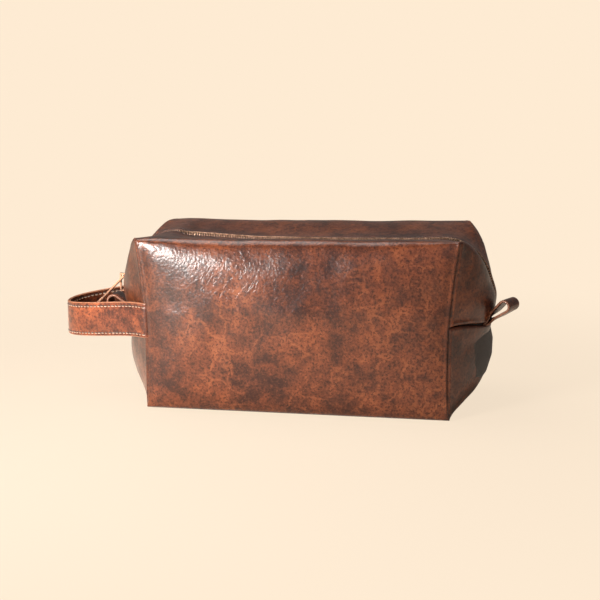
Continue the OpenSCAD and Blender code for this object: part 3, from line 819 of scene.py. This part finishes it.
def lining_bowl():
    """The lower lining: a base and four walls as one bowl, up to the level seam."""
    levels = np.array([0.0, 3, 7, 14, 24, 36, 48, 58, 64, 68])
    width = HALF_W - 2
    points = []
    for z in levels:
        zz = min(z, SEAM_Z - 0.2)
        bulge = float(crest_x(np.array(zz))) - seam_x(zz)
        ring = []
        for u in np.linspace(-1, 1, 25):
            y = u * width
            w = (width - abs(y)) / (width - ZIP_EDGE)
            ring.append([-(seam_x(zz) - 2 + bulge * float(swell(w))), y])
        left = np.array(ring)
        right = left[::-1] * [-1, 1]
        front = [[x, -width] for x in np.linspace(left[0, 0], -left[0, 0], 30)[1:-1]]
        back = [[x, width] for x in np.linspace(-left[0, 0], left[0, 0], 30)[1:-1]]
        loop = list(left) + back[::-1] + list(right) + front[::-1]
        points.append([[x, y, z + LINING_DEPTH] for x, y in loop])
    grid = np.array(points)
    m = grid.shape[1]
    index = np.arange(grid.shape[0] * m).reshape(grid.shape[0], m)
    index = np.concatenate([index, index[:, :1]], 1)
    flat = grid.reshape(-1, 3)
    faces = grid_faces(index)
    faces = outward(flat, faces)
    n = vertex_normals(flat, faces)
    n[:, 2] = 0
    flat = flat - n * (1.6 + 0.5 * fractal(flat, 26, 6))[:, None]
    base = list(range(m))
    return settle(flat), [list(f) for f in faces] + [base[::-1]]


lp, lf = lining_upper()
for side in ("front", "back"):
    p, f = (lp, lf) if side == "front" else mirrored(lp, lf, 1)
    piece = thicken(make("lining_cloth_" + side, p, f, lining_cloth), LINING_T)
    open_with(piece)
    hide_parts("lining_" + side)
bp, bf = lining_bowl()
bowl = thicken(make("lining_cloth_lower", bp, bf, lining_cloth), LINING_T)
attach(bowl, "shell")
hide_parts("lining_lower")


# ---------------------------------------------------------------- strap handle

STRAP_W, STRAP_T = 27.0, 1.2
STRAP_MID_Z = 68.9
STITCH_H, STRAP_STITCH, STRAP_PITCH = 10.7, 2.5, 3.6
# Points of the section: on its face, and on each rounded edge.
FACE_POINTS, EDGE_POINTS = 21, 4


def run_along(path):
    """Length along the path at each of its points."""
    return np.concatenate([[0], np.cumsum(np.linalg.norm(np.diff(path, axis=0), axis=1))])


def resample(path, step):
    path = np.asarray(path, float)
    run = run_along(path)
    at = np.linspace(0, run[-1], max(2, int(run[-1] / step)))
    return np.stack([np.interp(at, run, path[:, k]) for k in range(path.shape[1])], -1)


def curve_through(points, count):
    """Catmull-Rom curve through the points, with that many steps between neighbours."""
    p = np.asarray(points, float)
    p = np.concatenate([[2 * p[0] - p[1]], p, [2 * p[-1] - p[-2]]])
    out = []
    for a, b, c, d in zip(p[:-3], p[1:-2], p[2:-1], p[3:]):
        for t in np.linspace(0, 1, count, endpoint=False):
            square, cube = 2 * a - 5 * b + 4 * c - d, 3 * b - a - 3 * c + d
            out.append(0.5 * (2 * b + (c - a) * t + square * t**2 + cube * t**3))
    return np.array(out + [p[-2]])


def strap_centre():
    """Plan line of the strap's outer face, from the front seam round the tip to the back seam."""
    front = curve_through([(-113.4, -57.0), (-115.3, -58.5), (-117.7, -58.7), (-121, -57.0), (-127, -53.4),
                           (-140, -46.5), (-155, -40.3), (-168, -34.8), (-179, -29), (-187, -22.8),
                           (-192.5, -16.5), (-196, -9), (-197.4, 0)], 14)
    back = front[::-1][1:] * [1, -1]
    return resample(np.concatenate([front, back]), 1.3)


def plan_normals(line):
    """Directions out of the loop along the plan line."""
    t = np.gradient(line, axis=0)
    t /= np.linalg.norm(t, axis=1)[:, None]
    n = np.stack([t[:, 1], -t[:, 0]], -1)
    return -n if ((line - np.array([-140, 0])) * n).sum() < 0 else n


def droop(x):
    """How far the strap has sunk at x."""
    d = np.maximum(0, -x - 116)
    return -math.tan(math.radians(7.5)) * np.where(d < 20, d * d / 40, d - 10)


def strap_section(half, thick):
    """Closed outline (height, depth below the face) of a layer: rounded long edges, two stitch grooves."""
    face = []
    outer = [9.8, 10.3, STITCH_H, 11.1, 11.6, half - 1.2, half - 0.55]
    for h in np.concatenate([[-h for h in reversed(outer)], np.linspace(-8, 8, 7), outer]):
        groove = 0.26 * math.exp(-(((abs(h) - 10.8) / 0.65) ** 2))
        swellout = -0.12 * (1 - (h / half) ** 2)
        face.append((h, groove + swellout))
    edge_hi = [(half - 0.18, 0.2), (half, 0.5), (half - 0.05, thick - 0.3), (half - 0.3, thick)]
    inner = [(h, thick) for h in (10, 5, 0, -5, -10)]
    edge_lo = [(-half + 0.3, thick), (-half + 0.05, thick - 0.3), (-half, 0.5), (-half + 0.18, 0.2)]
    return face + edge_hi + inner + edge_lo


def strap_layer(depth, thick, flip):
    line = strap_centre()
    n = plan_normals(line)
    outline = strap_section(STRAP_W / 2, thick)
    if flip:
        outline = [(h, thick - o) for h, o in outline]
    grid = []
    for (x, y), (nx, ny) in zip(line, n):
        z0 = STRAP_MID_Z + float(droop(np.array(x)))
        bow = 0.35 * math.sin(x / 13.0) + 0.25 * math.sin(y / 7.0)
        grid.append([(x - nx * (depth + o), y - ny * (depth + o), z0 + h + 0.15 * bow * (h / 13))
                     for h, o in outline])
    grid = np.array(grid)
    m = grid.shape[1]
    index = np.arange(grid.shape[0] * m).reshape(grid.shape[0], m)
    index = np.concatenate([index, index[:, :1]], 1)
    faces = [list(f) for f in grid_faces(index)]
    caps = [list(range(m))[::-1], [(grid.shape[0] - 1) * m + k for k in range(m)]]
    return grid, faces + caps


def edge_faces(obj, rings, m):
    """The two long cut edges of a strap layer take the raw-edge material."""
    obj.data.materials.append(raw_edge)
    first = FACE_POINTS - 1
    for poly in obj.data.polygons:
        if poly.index < rings * m:
            j = poly.index % m
            if first <= j < first + EDGE_POINTS or j >= m - EDGE_POINTS - 1:
                poly.material_index = 1


def strap_pieces():
    out = []
    for name, depth, flip, mat, slot_name, node in (
            ("strap_outer", 0.0, False, strap_leather, "strap_leather", "handle_outer"),
            ("strap_inner", STRAP_T + 0.04, True, strap_inside, "strap_inside", "handle_inner")):
        grid, faces = strap_layer(depth, STRAP_T, flip)
        obj = make(name, grid.reshape(-1, 3), faces, mat)
        edge_faces(obj, grid.shape[0] - 1, grid.shape[1])
        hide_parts(node)
        out.append(obj)
    return out


def strap_stitching():
    """Two rows on each face, every stitch as a dark strand with a pale one under it. The dark strand is dark
    thread, darkened further as painted shade in its groove; the pale one is a painted highlight on the
    leather's lip below the stitch.
    """
    line = strap_centre()
    n = plan_normals(line)
    run = run_along(line)
    pairs = []
    for face in (0.02, 2 * STRAP_T + 0.02):
        for h in (-STITCH_H, STITCH_H):
            s = 4.5
            while s < run[-1] - 6:
                ends = []
                for at in (s, s + STRAP_STITCH):
                    x, y, nx, ny = (np.interp(at, run, v) for v in (*line.T, *n.T))
                    z0 = STRAP_MID_Z + float(droop(np.array(x)))
                    ends.append(np.array([x - nx * face, y - ny * face, z0 + h]))
                up = np.array([nx, ny, 0]) * (1 if face < 1 else -1)
                pairs.append((ends[0], ends[1], up))
                # the pale strand just below, a painted highlight on the leather's lip
                pairs.append((ends[0] - [0, 0, 0.62], ends[1] - [0, 0, 0.62], up))
                s += STRAP_PITCH
    return stitch_row(pairs, 0.34, 0.16)


def strap_blend(obj):
    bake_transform(obj)


for obj in strap_pieces():
    strap_blend(obj)
p, f = strap_stitching()
row = make("strap_stitches", p, f, strap_thread_and_hole_shade)
row.data.materials.append(painted_highlight_thread)
# Faces of one capsule, so that dark strands and painted highlight strands alternate.
STITCH_FACES = 40
for k, face in enumerate(row.data.polygons):
    face.material_index = k // STITCH_FACES % 2
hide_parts("handle_stitching")
strap_blend(row)


# ---------------------------------------------------------------- end tabs

TAB_W, TAB_T = 17.0, 1.7


def tab_loop(length, radius, inside=3.0):
    """Side profile of the folded strip, as its middle line: out along the top, round the end and back."""
    c, r = length - radius, radius - TAB_T / 2
    lean = math.asin((r - 0.9) / c)
    top = [(-inside, 0.9), (0, 0.9)]
    half_turn = np.linspace(math.pi / 2 + lean, -math.pi / 2 - lean, 19)
    arc = [(c + r * math.cos(a), r * math.sin(a)) for a in half_turn]
    path = top + arc + [(0, -0.9), (-inside, -0.9)]
    return resample(path, 0.8)


def tab_mesh(length, radius):
    """Points and faces of a tab that points along +x, and which faces are its cut edges."""
    line = tab_loop(length, radius)
    t = np.gradient(line, axis=0)
    t /= np.linalg.norm(t, axis=1)[:, None]
    n = np.stack([-t[:, 1], t[:, 0]], -1)
    half, th = TAB_W / 2, TAB_T / 2
    outline = ([(h, th + 0.08 * (1 - (h / half) ** 2)) for h in (-half + 0.5, -6, -3, 0, 3, 6, half - 0.5)]
               + [(half - 0.12, th - 0.15), (half, 0.2), (half, -0.2), (half - 0.12, -th + 0.15)]
               + [(h, -th) for h in (half - 0.5, 4, 0, -4, -half + 0.5)]
               + [(-half + 0.12, -th + 0.15), (-half, -0.2), (-half, 0.2), (-half + 0.12, th - 0.15)])
    m = len(outline)
    grid = np.array([[(x + nx * o, h, z + nz * o) for h, o in outline]
                     for (x, z), (nx, nz) in zip(line, n)])
    index = np.arange(grid.shape[0] * m).reshape(grid.shape[0], m)
    index = np.concatenate([index, index[:, :1]], 1)
    faces = [list(f) for f in grid_faces(index)]
    edge = [(k % m) in (6, 7, 8, 9, 10, m - 5, m - 4, m - 3, m - 2, m - 1) for k in range(len(faces))]
    caps = [list(range(m))[::-1], [(grid.shape[0] - 1) * m + k for k in range(m)]]
    return grid.reshape(-1, 3), faces + caps, edge


def place_tab(points, origin, tilt, yaw, side):
    """Tilts the tab up, and turns it progressively away from the seam that holds its root."""
    x, y, z = points.T
    c, s = math.cos(math.radians(tilt)), math.sin(math.radians(tilt))
    px, pz = x * c - z * s, x * s + z * c
    a = np.radians(yaw) * smooth(x / 13)
    qx, qy = px * np.cos(a) - y * np.sin(a), px * np.sin(a) + y * np.cos(a)
    return np.stack([origin[0] + side * qx, origin[1] + qy, origin[2] + pz], -1)


for side, length, radius, origin, tilt, yaw in (
        ("left", 21.5, 5.9, (-143.1, 0.0, 67.2), 20, 0),
        ("right", 28.8, 5.0, (141.2, -12.0, 67.4), 40, -26)):
    pts, fcs, edge = tab_mesh(length, radius)
    sign = -1 if side == "left" else 1
    pts = place_tab(pts, origin, tilt, yaw, sign)
    if sign > 0:
        fcs = [f[::-1] for f in fcs]
    tab = make("tab_" + side, pts, fcs, tab_leather)
    tab.data.materials.append(tab_edge)
    for k, is_edge in enumerate(edge):
        if is_edge:
            tab.data.polygons[k].material_index = 1
    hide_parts(side + "_tab")
    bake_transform(tab)


# ---------------------------------------------------------------- floor, light and camera

CREAM = (0.991, 0.831, 0.651)


def floor_material():
    s = Shader("floor_paper")
    cloudy = s.span(s.noise(s.local(), 3, 2.0), 0.2, 0.8)
    s.finish(s.mix(cloudy, (0.86, 0.73, 0.59), (0.88, 0.75, 0.61)), 0.9)
    out = next(n for n in s.tree.nodes if n.type == "OUTPUT_MATERIAL")
    glow = s.add("ShaderNodeEmission", {"Color": (*CREAM, 1), "Strength": 1.0})
    far = s.vector("LENGTH", {0: s.local()}, "Value")
    soft = s.add("ShaderNodeMixShader", {"Fac": s.span(far, 0.16, 0.55, 0.86, 1.0)})
    s.tree.links.new(s.bsdf.outputs[0], soft.inputs[1])
    s.tree.links.new(glow.outputs[0], soft.inputs[2])
    path = s.add("ShaderNodeLightPath")
    pick = s.add("ShaderNodeMixShader", {"Fac": path.outputs["Is Camera Ray"]})
    s.tree.links.new(s.bsdf.outputs[0], pick.inputs[1])
    s.tree.links.new(soft.outputs[0], pick.inputs[2])
    s.tree.links.new(pick.outputs[0], out.inputs["Surface"])
    return s.material


floor_mesh = bpy.data.meshes.new("floor")
floor_mesh.from_pydata([(-6, -6, 0), (6, -6, 0), (6, 6, 0), (-6, 6, 0)], [], [(0, 1, 2, 3)])
floor_mesh.materials.append(floor_material())
floor = bpy.data.objects.new("floor", floor_mesh)
bpy.context.scene.collection.objects.link(floor)

world = bpy.data.worlds.new("studio")
bpy.context.scene.world = world
world.use_nodes = True
tree = world.node_tree
back = tree.nodes["Background"]
back.inputs["Color"].default_value = (*CREAM, 1)
lit = tree.nodes.new("ShaderNodeBackground")
lit.inputs["Color"].default_value = (1.0, 0.93, 0.86, 1)
lit.inputs["Strength"].default_value = 0.17
path = tree.nodes.new("ShaderNodeLightPath")
pick = tree.nodes.new("ShaderNodeMixShader")
tree.links.new(path.outputs["Is Camera Ray"], pick.inputs[0])
tree.links.new(lit.outputs[0], pick.inputs[1])
tree.links.new(back.outputs[0], pick.inputs[2])
tree.links.new(pick.outputs[0], tree.nodes["World Output"].inputs["Surface"])


def area_light(name, location, target, size, power, colour=(1, 1, 1), spread=180):
    lamp = bpy.data.lights.new(name, "AREA")
    lamp.shape = "SQUARE"
    lamp.size = size
    lamp.spread = math.radians(spread)
    lamp.energy = power
    lamp.color = colour
    obj = bpy.data.objects.new(name, lamp)
    obj.location = location
    obj.rotation_euler = (Vector(target) - Vector(location)).to_track_quat("-Z", "Y").to_euler()
    bpy.context.scene.collection.objects.link(obj)


area_light("key", (-0.385, -0.62, 0.25), (-0.06, 0, 0.09), 0.16, 7.0, (1, 0.96, 0.92))
area_light("kicker", (-0.62, -0.52, 0.28), (-0.15, -0.03, 0.07), 0.3, 0.22, (1, 0.95, 0.9), spread=28)
area_light("top", (-0.45, 0.15, 1.15), (0, 0, 0.07), 0.8, 8, (1, 0.96, 0.92))
area_light("fill", (0.5, -1.5, 0.6), (0, 0, 0.07), 1.2, 1.5, (1, 0.97, 0.94))

cam_data = bpy.data.cameras.new("camera")
cam = bpy.data.objects.new("camera", cam_data)
bpy.context.scene.collection.objects.link(cam)
CAM_AZ, CAM_EL, CAM_DISTANCE = math.radians(9.46), math.radians(11.87), 1.056
CAM_TARGET = Vector((0, 0, 0.0672))
back_off = Vector((math.sin(CAM_AZ) * math.cos(CAM_EL), -math.cos(CAM_AZ) * math.cos(CAM_EL),
                   math.sin(CAM_EL)))
cam.location = CAM_TARGET + back_off * CAM_DISTANCE
cam.rotation_euler = (-back_off).to_track_quat("-Z", "Y").to_euler()
cam_data.sensor_width = 36
cam_data.lens = 79.74
cam_data.shift_x, cam_data.shift_y = -0.0133, 0.0212
cam_data.clip_start, cam_data.clip_end = 0.05, 30
bpy.context.scene.camera = cam
bpy.context.scene.view_settings.view_transform = "Standard"
